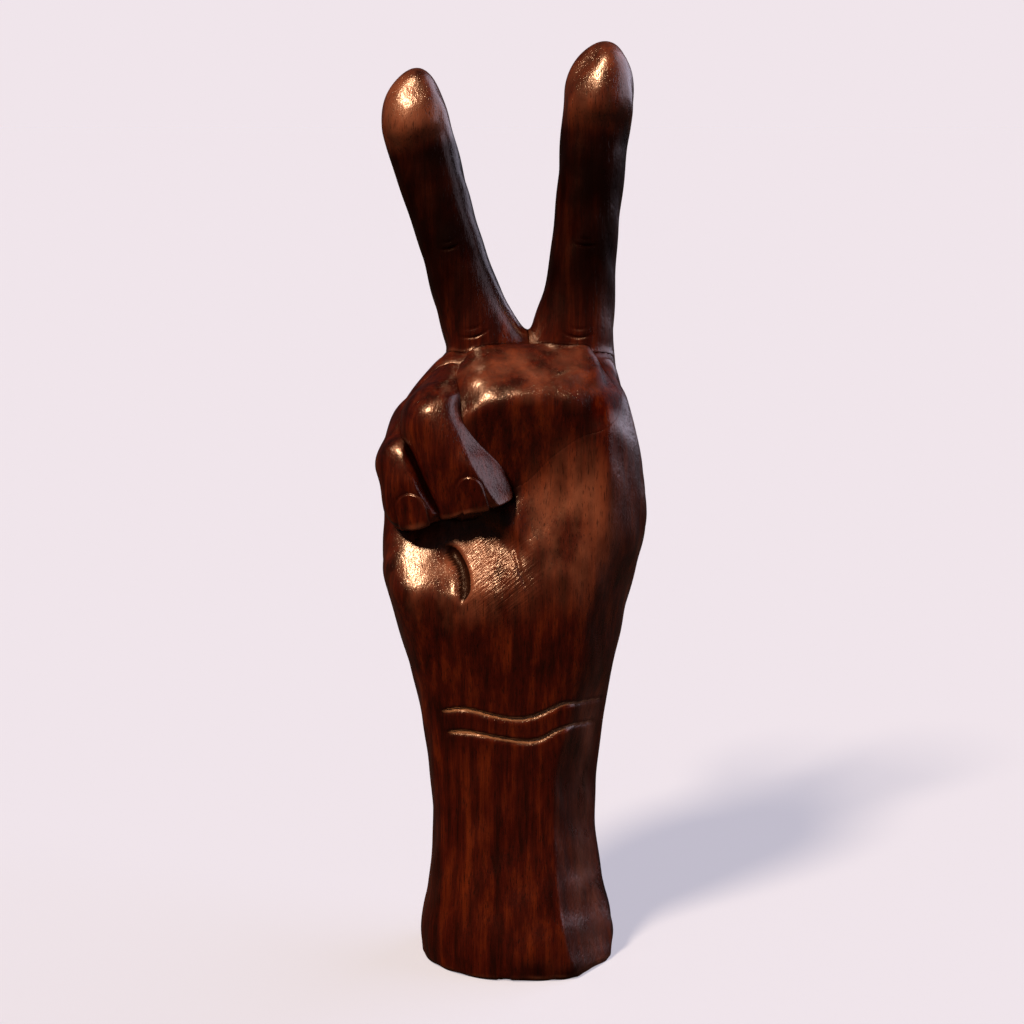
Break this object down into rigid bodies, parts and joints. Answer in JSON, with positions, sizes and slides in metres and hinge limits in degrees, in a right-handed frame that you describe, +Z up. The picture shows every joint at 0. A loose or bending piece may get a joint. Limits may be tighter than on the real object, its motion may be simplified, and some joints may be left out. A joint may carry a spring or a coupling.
{
  "type": "carved wooden hand",
  "caption": "Carved wooden hand giving the V sign, standing on its flared forearm, with thumb and folded fingers across the palm; a shelf ornament.",
  "frame": {"origin": "middle of the flat foot that the forearm stands on", "axes": "+Z up along the forearm to the fingertips, +X towards the thumb side, the palm faces -Y"},
  "size_m": [0.0719, 0.0443, 0.2501],
  "materials": {
    "varnished_wood": "dark red-brown stained hardwood with a worn satin varnish"
  },
  "bodies": {
    "root": {"forearm_and_palm": "varnished_wood", "thumb": "varnished_wood", "index_finger": "varnished_wood", "middle_finger": "varnished_wood", "ring_finger": "varnished_wood", "little_finger": "varnished_wood"}
  },
  "joints": []
}
